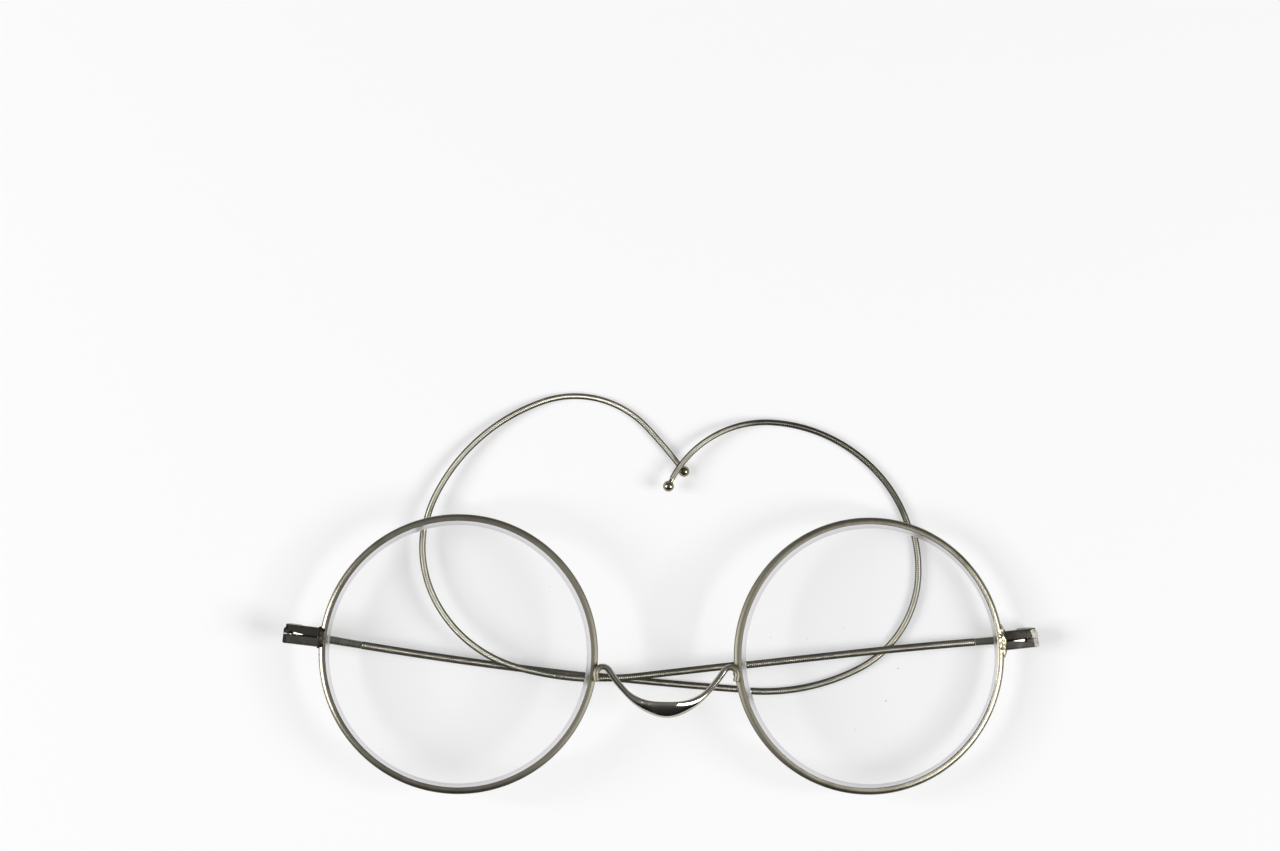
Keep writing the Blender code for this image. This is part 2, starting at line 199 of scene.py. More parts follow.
def dulled_band(metal, most, least, dull, roughness):
    """Dulls and darkens a metal in a band set by distance from the middle of the front.

    It is dullest at one distance from the middle of the front, and keeps its own finish at another.
    """
    tree = metal.node_tree
    shader = tree.nodes["Principled BSDF"]
    coords = add(tree, "ShaderNodeTexCoord").outputs["Object"]
    across = add(tree, "ShaderNodeSeparateXYZ", None, {"Vector": coords})
    away = add(tree, "ShaderNodeMath", {"operation": "ABSOLUTE"}, {0: across.outputs["X"]})
    share = add(tree, "ShaderNodeMapRange",
                {"From Min": most, "From Max": least, "To Min": 1.0, "To Max": 0.0},
                {"Value": away.outputs["Value"]})
    for name, kind, value in (("Base Color", "RGBA", linear(dull)), ("Roughness", "FLOAT", roughness)):
        mixed = add(tree, "ShaderNodeMix", {"data_type": kind, "B": value},
                    {"A": shader.inputs[name].links[0].from_socket, "Factor": share.outputs["Result"]})
        tree.links.new(mixed.outputs["Result"], shader.inputs[name])


rim_metal = nickel_silver("rim_nickel_silver", "#ACA898", "#857E6A", 0.29, 0.02, RIM_DENTS)
dulled_band(rim_metal, NOSE_NEAR, NOSE_FAR, "#8E8A7B", 0.55)
inner = RIM_RADIUS - RIM_WIDTH
crown_radius = (RIM_WIDTH - RIM_FLAT) / math.sin(RIM_CROWN)
rim_front = [(inner, RIM_DEPTH / 2 - RIM_CHAMFER), (inner + RIM_CHAMFER, RIM_DEPTH / 2)]
for i in range(CROWN_STEPS + 1):
    angle = RIM_CROWN * i / CROWN_STEPS
    rim_front.append((inner + RIM_FLAT + crown_radius * math.sin(angle),
                      RIM_DEPTH / 2 - crown_radius * (1 - math.cos(angle))))
rim_section = [(inner, RIM_LIP)] + rim_front + [(a, -b) for a, b in reversed(rim_front)]
rim_section += [(inner, -RIM_LIP), (inner + GROOVE_DEPTH, 0), (inner, RIM_LIP)]
slit = math.asin(CLOSING_SLIT / 2 / RIM_RADIUS)
for word, side in SIDES.items():
    rim = spun(word + "_eye_wire", rim_section, RIM_STEPS, math.tau - 2 * slit)
    opening = side * END_RISE if side > 0 else math.pi + side * END_RISE
    turn = Matrix.Rotation(opening + slit, 4, "Z")
    seat(rim, eye_frame(word) @ turn, "front", "frame_metal", rim_metal, word + "_rim")

# Lenses: clear crown glass, ground round and slightly crowned on both faces. The edge is bevelled to a
# knife edge that springs into the rim's groove, and shows as a pale band just inside the wire.
LENS_RADIUS = 21.0 * MM
LENS_EDGE = 1.9 * MM
LENS_FACE = 20.0 * MM
LENS_CORNER = 20.1 * MM
LENS_LIP = 20.68 * MM
LENS_LIP_EDGE = 0.64 * MM
LENS_CROWN = 0.3 * MM
LENS_RINGS = 14
LENS_STEPS = 192
DUST_SPAN = 0.8 * MM
SMEAR_SPAN = 9 * MM
BEVEL_FROST = 0.85
EDGE_FROST = 0.45


def crown_glass(name):
    """Clear glass with faint dust and smears, greyer in the ground bevel. Its shadow stays pale."""
    glass = bpy.data.materials.new(name)
    glass.use_nodes = True
    tree = glass.node_tree
    shader = tree.nodes["Principled BSDF"]
    shader.inputs["Transmission Weight"].default_value = 1.0
    shader.inputs["IOR"].default_value = 1.52
    coords = add(tree, "ShaderNodeTexCoord").outputs["Object"]
    dust = add(tree, "ShaderNodeTexNoise", {"Scale": 1 / DUST_SPAN, "Detail": 2.0}, {"Vector": coords})
    speck = add(tree, "ShaderNodeMapRange", {"From Min": 0.76, "From Max": 0.8},
                {"Value": dust.outputs["Fac"]})
    colour = add(tree, "ShaderNodeMix",
                 {"data_type": "RGBA", "A": linear("#FAFBFA"), "B": linear("#9B968C")},
                 {"Factor": speck.outputs["Result"]})
    ground = add(tree, "ShaderNodeAttribute", {"attribute_name": "ground"})
    edge = add(tree, "ShaderNodeMix", {"data_type": "RGBA", "B": linear("#A9A3AE")},
               {"A": colour.outputs["Result"], "Factor": ground.outputs["Fac"]})
    tree.links.new(edge.outputs["Result"], shader.inputs["Base Color"])
    smear = add(tree, "ShaderNodeTexNoise", {"Scale": 1 / SMEAR_SPAN, "Detail": 4.0, "Distortion": 2.0},
                {"Vector": coords})
    rough = add(tree, "ShaderNodeMapRange", {"From Min": 0.45, "From Max": 0.8, "To Max": 0.03},
                {"Value": smear.outputs["Fac"]})
    frost = add(tree, "ShaderNodeMix", {"data_type": "FLOAT", "B": 0.7},
                {"A": rough.outputs["Result"], "Factor": ground.outputs["Fac"]})
    tree.links.new(frost.outputs["Result"], shader.inputs["Roughness"])
    rays = add(tree, "ShaderNodeLightPath").outputs
    through = add(tree, "ShaderNodeBsdfTransparent", {"Color": linear("#FEFEFE")}).outputs["BSDF"]
    seen = shader.outputs["BSDF"]
    for kind in ("Is Shadow Ray", "Is Diffuse Ray", "Is Glossy Ray"):
        mixed = add(tree, "ShaderNodeMixShader", None, {0: rays[kind], 1: seen, 2: through})
        seen = mixed.outputs["Shader"]
    tree.links.new(seen, tree.nodes["Material Output"].inputs["Surface"])
    return glass


lens_glass = crown_glass("lens_crown_glass")
lens_front = []
for i in range(LENS_RINGS + 1):
    share = i / LENS_RINGS
    lens_front.append((LENS_FACE * share, LENS_EDGE / 2 + LENS_CROWN * (1 - share * share)))
bevel_slope = (LENS_EDGE - LENS_LIP_EDGE) / 2 / (LENS_LIP - LENS_FACE)
lens_front.append((LENS_CORNER, LENS_EDGE / 2 - bevel_slope * (LENS_CORNER - LENS_FACE)))
lens_front.append((LENS_LIP, LENS_LIP_EDGE / 2))
lens_section = lens_front + [(LENS_RADIUS, 0)] + [(a, -b) for a, b in reversed(lens_front)]
for word in SIDES:
    lens = spun(word + "_spectacle_lens", lens_section, LENS_STEPS)
    ground = []
    for vertex in lens.data.vertices:
        out = math.hypot(vertex.co.x, vertex.co.y)
        frost = BEVEL_FROST if out < LENS_LIP - WELD else EDGE_FROST
        ground.append(0.0 if out < LENS_CORNER - WELD else frost)
    lens.data.attributes.new("ground", "FLOAT", "POINT").data.foreach_set("value", ground)
    seat(lens, eye_frame(word), "front", "lens_glass", lens_glass, word + "_lens")

# End pieces: each is a block of nickel silver sawn in two, so that the rim can be opened for the lens.
# Each half is soldered to one end of the rim, and its outer end turns back into a knuckle of the hinge.
END_REACH = 5.7 * MM
SOLDER_GAP = 0.1 * MM
END_HEIGHT = 3.0 * MM
END_PLATE = 1.5 * MM
END_PROUD = 0.85 * MM
HALVES = {"upper": 1, "lower": -1}
END_CORNERS = {"upper": 0.75 * MM, "lower": 0.2 * MM}
# Width, depth and skew in degrees of the slice off each half's outer end.
END_FACETS = {
    "left_upper": (0.65 * MM, 0.5 * MM, 0),
    "left_lower": (0.65 * MM, 0.5 * MM, 0),
    "right_upper": (0.95 * MM, 0.16 * MM, 14),
    "right_lower": (0.85 * MM, 0.285 * MM, 0),
}
SLIT_ROUND = 0.12 * MM
TOP_ROUND = 0.3 * MM
NOTCH_LENGTH = 2.1 * MM
NOTCH_WIDTH = 0.1 * MM
NOTCH_FLARE = math.radians(8)
# The half that is notched, the notch's start, and its fall and lean in degrees.
NOTCHES = {"left": ("upper", -1.75 * MM, 21, 0), "right": ("lower", -2.7 * MM, 11, -5)}
EDGE_ROUND = 0.06 * MM
FACET_ANGLE = math.radians(9)
HINGE_INSET = 1.4 * MM
HINGE_SETBACK = 2.3 * MM
KNUCKLE_RADIUS = 1.15 * MM
EYE_HEIGHT = 1.0 * MM
HINGE_PLAY = 0.06 * MM
SCREW_RADIUS = 0.42 * MM
HEAD_RADIUS = 0.75 * MM
HEAD_HEIGHT = 0.3 * MM
ROUND_STEPS = 48
NEAR = 0.01 * MM

plate_front = HINGE_SETBACK + END_PROUD
plate_back = plate_front - END_PLATE
plate_inner = HINGE_INSET - END_REACH + SOLDER_GAP
half_slit = CLOSING_SLIT / 2
half_height = END_HEIGHT / 2
lug_low = EYE_HEIGHT / 2 + HINGE_PLAY


def block(name, low, high):
    """A cube stretched between two corners."""
    bpy.ops.object.select_all(action="DESELECT")
    low = Vector(low)
    high = Vector(high)
    bpy.ops.mesh.primitive_cube_add(size=1.0, location=(low + high) / 2, scale=high - low)
    bpy.ops.object.transform_apply(location=True, rotation=False, scale=True)
    piece = bpy.context.object
    piece.name = name
    return piece


def bevel_edges(piece, chosen, width, segments):
    """Rounds the edges whose two ends both pass a test."""
    bpy.context.view_layer.objects.active = piece
    for edge in piece.data.edges:
        edge.select = all(chosen(piece.data.vertices[i].co) for i in edge.vertices)
    for polygon in piece.data.polygons:
        polygon.select = False
    for vertex in piece.data.vertices:
        vertex.select = chosen(vertex.co)
    bpy.ops.object.mode_set(mode="EDIT")
    bpy.ops.mesh.select_mode(type="EDGE")
    bpy.ops.mesh.bevel(offset=width, segments=segments, affect="EDGES")
    bpy.ops.mesh.select_mode(type="VERT")
    bpy.ops.object.mode_set(mode="OBJECT")


def combine(piece, helper, operation):
    """Joins a helper to a piece, or cuts it out, and deletes the helper."""
    step = piece.modifiers.new(helper.name, "BOOLEAN")
    step.operation = operation
    step.solver = "EXACT"
    step.object = helper
    bpy.ops.object.select_all(action="DESELECT")
    bpy.context.view_layer.objects.active = piece
    bpy.ops.object.modifier_apply(modifier=step.name)
    bpy.data.objects.remove(helper)


def rod(name, radius, low, high):
    """A round bar along the hinge's axis."""
    section = [(0, low), (radius, low), (radius, high), (0, high)]
    made = spun(name, section, ROUND_STEPS)
    made.data.transform(Matrix.Rotation(-math.pi / 2, 4, "X"))
    return made


def facet(name, width, depth, skew):
    """A block that slices the front edge off the outer end of an end piece."""
    made = block(name, (-END_REACH, -END_REACH, 0), (END_REACH, END_REACH, END_REACH))
    turned = Matrix.Rotation(math.radians(skew), 4, "Z")
    slant = turned @ Matrix.Rotation(math.atan2(depth, width), 4, "Y")
    made.data.transform(Matrix.Translation((HINGE_INSET - width, 0, plate_front)) @ slant)
    return made


def notch(name, start, fall, lean):
    """A wedge cut beside the slit, where the saw ran in at a slant."""
    made = block(name, (0, -END_HEIGHT, 0), (NOTCH_LENGTH, half_slit + NOTCH_WIDTH, END_REACH))
    slant = Matrix.Rotation(math.radians(fall), 4, "Y") @ Matrix.Rotation(math.radians(lean), 4, "X")
    flare = Matrix.Rotation(NOTCH_FLARE, 4, "Z")
    made.data.transform(Matrix.Translation((start, 0, plate_front)) @ flare @ slant)
    return made


# Painted shade: the end pieces get darkened copies of nickel silver, and the lower halves' copy is lighter, as
# painted light.
shade_darkened_block_metals = {
    "upper": nickel_silver("block_nickel_silver", "#6E6B63", "#504D45", 0.12, 0.1),
    "lower": nickel_silver("lighter_shade_darkened_block_nickel_silver", "#8C8982", "#615E57", 0.15, 0.1),
}
for word, side in SIDES.items():
    for half, up in HALVES.items():
        plate = block(f"{word}_closing_block_{half}", (plate_inner, half_slit, plate_back),
                      (HINGE_INSET, half_height, plate_front))
        bevel_edges(plate, lambda p: p.x > HINGE_INSET - NEAR and p.y > half_height - NEAR,
                    END_CORNERS[half], 1)
        bevel_edges(plate, lambda p: p.y > half_height - NEAR and p.z > plate_front - NEAR, TOP_ROUND, 3)
        bevel_edges(plate, lambda p: p.y < half_slit + NEAR and p.z > plate_front - NEAR, SLIT_ROUND, 3)
        lug = block("lug", (-KNUCKLE_RADIUS, lug_low, 0),
                    (KNUCKLE_RADIUS, half_height, plate_back + END_PLATE / 2))
        combine(plate, lug, "UNION")
        combine(plate, rod("knuckle", KNUCKLE_RADIUS, lug_low, half_height), "UNION")
        combine(plate, facet("facet", *END_FACETS[f"{word}_{half}"]), "DIFFERENCE")
        combine(plate, rod("bore", SCREW_RADIUS + HINGE_PLAY, 0, END_HEIGHT), "DIFFERENCE")
        if up < 0:
            sink = half_height - HEAD_HEIGHT - HINGE_PLAY
            combine(plate, rod("sink", HEAD_RADIUS + HINGE_PLAY, sink, END_HEIGHT), "DIFFERENCE")
        if half == NOTCHES[word][0]:
            combine(plate, notch("notch", *NOTCHES[word][1:]), "DIFFERENCE")
        rounding = plate.modifiers.new("edges", "BEVEL")
        rounding.width = EDGE_ROUND
        rounding.segments = 2
        rounding.limit_method = "ANGLE"
        rounding.angle_limit = CORNER_ANGLE
        bpy.context.view_layer.objects.active = plate
        bpy.ops.object.modifier_apply(modifier=rounding.name)
        mirror = Matrix.Diagonal((side, up, 1, 1))
        plate.data.transform(mirror)
        if side * up < 0:
            plate.data.flip_normals()
        seat(plate, hinge_frame(word), "front", "frame_metal", shade_darkened_block_metals[half],
             f"{word}_end_piece_{half}", corner=FACET_ANGLE)

# Hinge screws: a slotted steel screw through the knuckles and the temple's eye. It closes the block
# round the lens and is the pin that the temple turns on. Its head lies in the lower knuckle.
SCREW_SLOT = 0.25 * MM
HEAD_ROUND = 0.06 * MM

screw_metal = nickel_silver("screw_steel", "#8D897E", "#554F43", 0.28)
for word in SIDES:
    section = [(0, -half_height), (HEAD_RADIUS - HEAD_ROUND, -half_height),
               (HEAD_RADIUS, -half_height + HEAD_ROUND), (HEAD_RADIUS, -half_height + HEAD_HEIGHT),
               (SCREW_RADIUS, -half_height + HEAD_HEIGHT), (SCREW_RADIUS, half_height - HEAD_ROUND),
               (SCREW_RADIUS - HEAD_ROUND, half_height), (0, half_height)]
    screw = spun(word + "_slotted_screw", section, ROUND_STEPS)
    cut = block("cut", (-HEAD_RADIUS * 2, -SCREW_SLOT / 2, -END_HEIGHT),
                (HEAD_RADIUS * 2, SCREW_SLOT / 2, -half_height + HEAD_HEIGHT / 2))
    combine(screw, cut, "DIFFERENCE")
    screw.data.transform(Matrix.Rotation(-math.pi / 2, 4, "X"))
    seat(screw, hinge_frame(word), "front", "screw_steel", screw_metal, word + "_hinge_screw")

# Solder: silver solder run into the corners, where each half of a block meets its end of the rim. The
# left joint is filed flat and coloured darker, as painted shade. The right one is left as a bright drop
# with a skin of cracks.
SOLDER_GRAIN = 0.45 * MM
SOLDER_SLIT = 0.02 * MM
# Reach along, across and up, squareness and roughness of each lump.
SOLDER_LUMPS = {
    "left": ((0.72 * MM, 1.72 * MM, 0.8 * MM), 0.55, 0.12),
    "right": ((0.74 * MM, 2.5 * MM, 0.95 * MM), 0.85, 0.14),
}
SOLDER_SINKS = {"left": 0.3 * MM, "right": 0.16 * MM}
DROP_SEGMENTS = 48
DROP_RINGS = 32
CRACK_SPAN = 1.1 * MM


def drop(name, reach, squareness, roughing):
    """A lump of solder: a ball drawn out, squared up a little and roughened."""
    bpy.ops.object.select_all(action="DESELECT")
    bpy.ops.mesh.primitive_uv_sphere_add(segments=DROP_SEGMENTS, ring_count=DROP_RINGS, radius=1.0)
    lump = bpy.context.object
    lump.name = name
    for vertex in lump.data.vertices:
        grain = noise.noise(Vector(r * c for r, c in zip(reach, vertex.co)) / SOLDER_GRAIN)
        vertex.co = [math.copysign(abs(c) ** squareness, c) * (1 + roughing * grain) for c in vertex.co]
    lump.scale = reach
    bpy.ops.object.transform_apply(location=True, rotation=True, scale=True)
    return lump


def silver_solder(name, bright, crack, polish):
    """Silver solder: a cream metal skin, wrinkled as it set, with flux and dirt in its cracks."""
    metal = nickel_silver(name, bright, crack, polish, 0.3)
    tree = metal.node_tree
    shader = tree.nodes["Principled BSDF"]
    coords = add(tree, "ShaderNodeTexCoord").outputs["Object"]
    cell = add(tree, "ShaderNodeTexVoronoi", {"feature": "DISTANCE_TO_EDGE", "Scale": 1 / CRACK_SPAN},
               {"Vector": coords})
    line = add(tree, "ShaderNodeValToRGB", None, {"Fac": cell.outputs["Distance"]})
    line.color_ramp.elements[0].color = linear(crack)
    line.color_ramp.elements[1].position = 0.16
    line.color_ramp.elements[1].color = linear(bright)
    tree.links.new(line.outputs["Color"], shader.inputs["Base Color"])
    return metal


solder_metals = {
    "left": silver_solder("shade_darkened_silver_solder", "#605D54", "#38362B", 0.3),
    "right": silver_solder("bright_silver_solder", "#DCD6BE", "#7C7142", 0.3),
}
for word, side in SIDES.items():
    for half, up in HALVES.items():
        lump = drop(f"{word}_solder_{half}", *SOLDER_LUMPS[word])
        bpy.ops.object.mode_set(mode="EDIT")
        bpy.ops.mesh.select_all(action="SELECT")
        bpy.ops.mesh.bisect(plane_co=(0, SOLDER_SLIT, 0), plane_no=(0, 1, 0), use_fill=True,
                            clear_inner=True)
        bpy.ops.object.mode_set(mode="OBJECT")
        lump.data.transform(Matrix.Diagonal((side, up, 1, 1)))
        if side * up < 0:
            lump.data.flip_normals()
        rim_edge = Matrix.Translation((side * (RIM_RADIUS - SOLDER_SINKS[word]), 0, 0))
        place = eye_frame(word) @ Matrix.Rotation(side * END_RISE, 4, "Z") @ rim_edge
        seat(lump, place, "front", "frame_metal", solder_metals[word])

# Bridge: one wire from rim to rim. Its hooked ends lie on the fronts of the rims, where they are
# soldered, and it runs down to a saddle, bowed forward over the nose, beaten flat there and polished.
CENTRE_DISTANCE = 64.9 * MM
FACE_FORM = math.radians(5.0)
RIM_FLANK = 0.47 * MM
RIM_CREST = 0.65 * MM
BRIDGE_WIRE = 1.0 * MM
BRIDGE_LEG_WIRE = 0.95 * MM
BRIDGE_SEAT_DROP = 2.77 * MM
BRIDGE_SEAT_INSET = 0.12 * MM
BRIDGE_FOOT = 0.9 * MM
BRIDGE_FOOT_TURN = math.radians(19)
BRIDGE_HOOK_RADIUS = 1.12 * MM
BRIDGE_HOOK_TURN = math.radians(140)
BRIDGE_LEG = 4.1 * MM
BRIDGE_LEG_TURN = math.radians(10.5)
SADDLE_BOW = 1.25 * MM
SADDLE_WIDTH = 2.8 * MM
SADDLE_THICKNESS = 0.95 * MM
SADDLE_TILT = math.radians(-36)
SADDLE_EASE = 0.25
TILT_PACE = 1.5
BRIDGE_SIDES = 40
FOOT_STEPS = 6
HOOK_STEPS = 32
LEG_STEPS = 20
SADDLE_STEPS = 48
CUT_ROUND = 0.12 * MM
HOOK_NEAR = 9.4 * MM
HOOK_FAR = 10.6 * MM
FILLET = (0.24 * MM, 0.42 * MM, 0.2 * MM)
FILLET_ROUGHING = 0.1
FILLET_SINK = 0.3 * MM


def steady_bend(run, turn, lift):
    """The frame at the end of a steady bend of a wire that starts along +X."""
    angle = math.hypot(turn, lift)
    if angle < 1e-9:
        return Matrix.Translation((run, 0, 0))
    axis = Vector((0, -lift, turn)) / angle
    ahead = Vector((1, 0, 0))
    reach = math.sin(angle) * ahead + (1 - math.cos(angle)) * axis.cross(ahead)
    return Matrix.Translation(run / angle * reach) @ Matrix.Rotation(angle, 4, axis)


def ring(place, half_across, half_up, sides):
    """An ellipse round a wire."""
    points = []
    for i in range(sides):
        angle = math.tau * i / sides
        points.append(place @ Vector((0, half_across * math.cos(angle), half_up * math.sin(angle))))
    return points


def skin(name, rings):
    """A mesh over a row of rings, with its two ends closed."""
    sides = len(rings[0])
    points = [point for row in rings for point in row]
    faces = [list(range(sides)), list(range(len(points) - sides, len(points)))]
    for row in range(len(rings) - 1):
        for i in range(sides):
            near, far = row * sides, (row + 1) * sides
            after = (i + 1) % sides
            faces.append((near + i, near + after, far + after, far + i))
    mesh = bpy.data.meshes.new(name)
    mesh.from_pydata(points, [], faces)
    piece = bpy.data.objects.new(name, mesh)
    bpy.context.scene.collection.objects.link(piece)
    bpy.ops.object.select_all(action="DESELECT")
    piece.select_set(True)
    bpy.context.view_layer.objects.active = piece
    bpy.ops.object.mode_set(mode="EDIT")
    bpy.ops.mesh.select_all(action="SELECT")
    bpy.ops.mesh.normals_make_consistent(inside=False)
    bpy.ops.object.mode_set(mode="OBJECT")
    return piece


bridge_metal = nickel_silver("bridge_nickel_silver", "#CFCABD", "#ADA799", 0.1)
dulled_band(bridge_metal, HOOK_FAR, HOOK_NEAR, "#8E8A7B", 0.5)
thin = BRIDGE_WIRE / 2
leg = BRIDGE_LEG_WIRE / 2
seat_radius = RIM_RADIUS - BRIDGE_SEAT_INSET
below = math.asin(BRIDGE_SEAT_DROP / seat_radius)
flank_drop = (RIM_DEPTH - RIM_CREST) / 2
flank_run = RIM_WIDTH - RIM_FLANK
clear = (thin + SOLDER_GAP) * math.hypot(flank_run, flank_drop)
ahead = RIM_DEPTH / 2 + (clear - (seat_radius - inner - RIM_FLANK) * flank_drop) / flank_run
turned_eye = Matrix.Rotation(FACE_FORM, 4, "Y") @ Matrix.Translation((CENTRE_DISTANCE / 2, 0, 0))
front_frame = eye_frame("right") @ turned_eye.inverted()
hook_seat = turned_eye @ Vector((-seat_radius * math.cos(below), -BRIDGE_SEAT_DROP, ahead))
heading = math.pi / 2 + below
hook_turn = BRIDGE_FOOT_TURN + BRIDGE_HOOK_TURN
to_seat = steady_bend(BRIDGE_HOOK_RADIUS * BRIDGE_FOOT_TURN, BRIDGE_FOOT_TURN, 0)
place = Matrix.Translation(hook_seat) @ Matrix.Rotation(heading, 4, "Z") @ to_seat.inverted()
place = place @ Matrix.Translation((-BRIDGE_FOOT, 0, 0))
path = [(place, thin - CUT_ROUND, thin - CUT_ROUND),
        (place @ Matrix.Translation((CUT_ROUND, 0, 0)), thin, thin)]
for length, turn, thick, steps in ((BRIDGE_FOOT, 0.0, thin, FOOT_STEPS),
                                   (BRIDGE_HOOK_RADIUS * hook_turn, hook_turn, thin, HOOK_STEPS)):
    for i in range(1, steps + 1):
        path.append((place @ steady_bend(length * i / steps, turn * i / steps, 0), thick, thick))
    place = place @ steady_bend(length, turn, 0)
slope = heading + BRIDGE_HOOK_TURN - BRIDGE_LEG_TURN - math.pi
leg_end = place @ steady_bend(BRIDGE_LEG, -BRIDGE_LEG_TURN, 0)
saddle_run = leg_end.translation.x / math.sin(slope) * slope
for i in range(1, LEG_STEPS + 1):
    share = i / LEG_STEPS
    size = thin + (leg - thin) * share
    path.append((place @ steady_bend(BRIDGE_LEG * share, -BRIDGE_LEG_TURN * share, 0), size, size))
for i in range(1, SADDLE_STEPS + 1):
    share = i / SADDLE_STEPS
    ease = share * share * (3 - 2 * share)
    across = leg + (SADDLE_WIDTH / 2 - leg) * ease
    thick = leg + (SADDLE_THICKNESS / 2 - leg) * ease
    rise = Matrix.Translation((0, 0, SADDLE_BOW * (1 - math.cos(math.pi * share)) / 2))
    climb = math.atan(SADDLE_BOW * math.pi / 2 * math.sin(math.pi * share) / saddle_run)
    twist = math.sin(math.pi / 2 * min(1.0, TILT_PACE * share)) * (1 - SADDLE_EASE * ease)
    lean = Matrix.Rotation(-climb, 4, "Y") @ Matrix.Rotation(SADDLE_TILT * twist, 4, "X")
    spot = rise @ leg_end @ steady_bend(saddle_run * share, -slope * share, 0) @ lean
    path.append((spot, across, thick))
right_half = [ring(spot, across, thick, BRIDGE_SIDES) for spot, across, thick in path]
left_half = [[Vector((-p.x, p.y, p.z)) for p in row] for row in reversed(right_half[:-1])]
bridge = skin("saddle_bridge", right_half + left_half)
seat(bridge, front_frame, "front", "frame_metal", bridge_metal, "bridge")
for word, side in SIDES.items():
    fillet = drop(word + "_bridge_solder", FILLET, 1.0, FILLET_ROUGHING)
    spot = Vector((-side * (seat_radius + FILLET_SINK) * math.cos(below), -BRIDGE_SEAT_DROP, ahead / 3))
    place = eye_frame(word) @ Matrix.Translation(spot)
    # The fillets take the darkened solder colour, which is painted shade.
    seat(fillet, place, "front", "frame_metal", solder_metals["left"])

# Temple butts: a smooth tapered shank forged with a flat eye, which turns on the screw between the
# knuckles. The cable is brazed into its thin end.
BUTT_LENGTHS = {"left": 10.8 * MM, "right": 8.4 * MM}
BUTT_NECK = 0.3 * MM
BUTT_THICK = 1.36 * MM
BUTT_THIN = 1.15 * MM
SHANK_SIDES = 40
SHANK_STEPS = 16
SHANK_SQUARE = 0.55
# Length, and turn and lift in degrees, of each steady bend from the hinge to the tip.
LEFT_BENDS = (
    (3.0 * MM, -3.5, 0.0),
    (35.0 * MM, 3.0, 0.0),
    (34.0 * MM, 3.0, 4.7),
    (18.0 * MM, 31.0, 0.0),
    (19.0 * MM, 62.5, 0.0),
    (17.0 * MM, 43.0, 0.0),
    (19.5 * MM, 44.5, 5.0),
    (21.5 * MM, 72.0, 4.0),
)
RIGHT_BENDS = (
    (3.0 * MM, 2.0, 0.0),
    (27.0 * MM, -2.0, 0.0),
    (32.0 * MM, -0.5, 0.0),
    (19.0 * MM, 21.5, 0.0),
    (17.0 * MM, 46.5, 0.0),
    (17.5 * MM, 55.0, 0.0),
    (23.0 * MM, 44.0, 0.0),
    (18.0 * MM, 66.0, 0.0),
    (10.0 * MM, 7.0, 0.0),
)
# Bends, fold towards the front and twist along the wire.
TEMPLES = {
    "left": (LEFT_BENDS, math.radians(7.9), math.radians(1.4)),
    "right": (RIGHT_BENDS, math.radians(4.8), math.radians(-2.5)),
}


def flattened(place, half_across, half_up, sides):
    """A ring round a wire, squared up as by a file."""
    points = []
    for i in range(sides):
        angle = math.tau * i / sides
        over, up = math.cos(angle), math.sin(angle)
        points.append(place @ Vector((0, half_across * math.copysign(abs(over) ** SHANK_SQUARE, over),
                                      half_up * math.copysign(abs(up) ** SHANK_SQUARE, up))))
    return points


def on_wire(bends, distance):
    """The frame on a bent wire at a distance from its start."""
    place = Matrix.Identity(4)
    for length, turn, lift in bends:
        run = min(length, distance)
        share = run / length
        place = place @ steady_bend(run, math.radians(turn) * share, math.radians(lift) * share)
        distance -= run
    return place


def temple_place(word):
    """From a wire that starts along +X to the folded temple, mirrored on the right side."""
    side = SIDES[word]
    _, fold, twist = TEMPLES[word]
    folded = hinge_frame(word) @ Matrix.Rotation(-side * fold, 4, "Y")
    return folded @ Matrix.Diagonal((-side, 1, 1, 1)) @ Matrix.Rotation(twist, 4, "X")


shank_metal = nickel_silver("shank_nickel_silver", "#9C988B", "#747063", 0.2)
for word in SIDES:
    bends = TEMPLES[word][0]
    flat = EYE_HEIGHT / 2 - HINGE_PLAY
    root = (SCREW_RADIUS + HINGE_PLAY + KNUCKLE_RADIUS) / 2
    sizes = [(root, flat, flat), (KNUCKLE_RADIUS + BUTT_NECK, flat, BUTT_THICK / 2)]
    for i in range(SHANK_STEPS + 1):
        share = i / SHANK_STEPS
        thick = BUTT_THICK + (BUTT_THIN - BUTT_THICK) * share
        run = 2 * KNUCKLE_RADIUS + (BUTT_LENGTHS[word] - 2 * KNUCKLE_RADIUS) * share
        sizes.append((run, thick / 2, thick / 2))
    rings = [flattened(on_wire(bends, run), across, tall, SHANK_SIDES) for run, across, tall in sizes]
    shank = skin(word + "_temple_shank", rings)
    eye = rod("eye", KNUCKLE_RADIUS, -EYE_HEIGHT / 2, EYE_HEIGHT / 2)
    combine(shank, eye, "UNION")
    combine(shank, rod("bore", SCREW_RADIUS + HINGE_PLAY, -END_HEIGHT, END_HEIGHT), "DIFFERENCE")
    place = temple_place(word)
    seat(shank, place, word + "_temple", "frame_metal", shank_metal, word + "_temple_butt")
    if place.determinant() < 0:
        shank.data.flip_normals()

# Temple cables: a springy core wire, tapered towards the ear, with a finer wire wound round it, turn
# against turn, so that it bends easily. The turns keep dirt between them and grime along some runs.
# Their sides are darkened with painted shade, so that only the top, up when folded, stays bright.
WINDING_RADIUS = 0.61 * MM
WINDING_END_RADIUS = 0.455 * MM
TURN_PITCH = 0.32 * MM
TURN_DEPTH = 0.034 * MM
TURN_END_DEPTH = 0.06 * MM
TURN_STEPS = 10
CREST_SHARPNESS = 6
# Painted shade on the cables' sides: cosines of the angles from the top where it starts and where it is full, and
# its strength.
SHADE_FROM = math.cos(math.radians(21))
SHADE_FULL = math.cos(math.radians(47))
SIDE_SHADE = 0.92
# From, to and strength of the runs where grime covers the top too.
GRIMY_RUNS = {
    "left": ((14 * MM, 94 * MM, 0.4), (113 * MM, 154 * MM, 0.82)),
    "right": ((12 * MM, 86 * MM, 0.42),),
}
GRIME_FADE = 6 * MM
WINDING_SIDES = 16
TIP_LENGTH = 2.2 * MM
END_GAP = 0.1 * MM


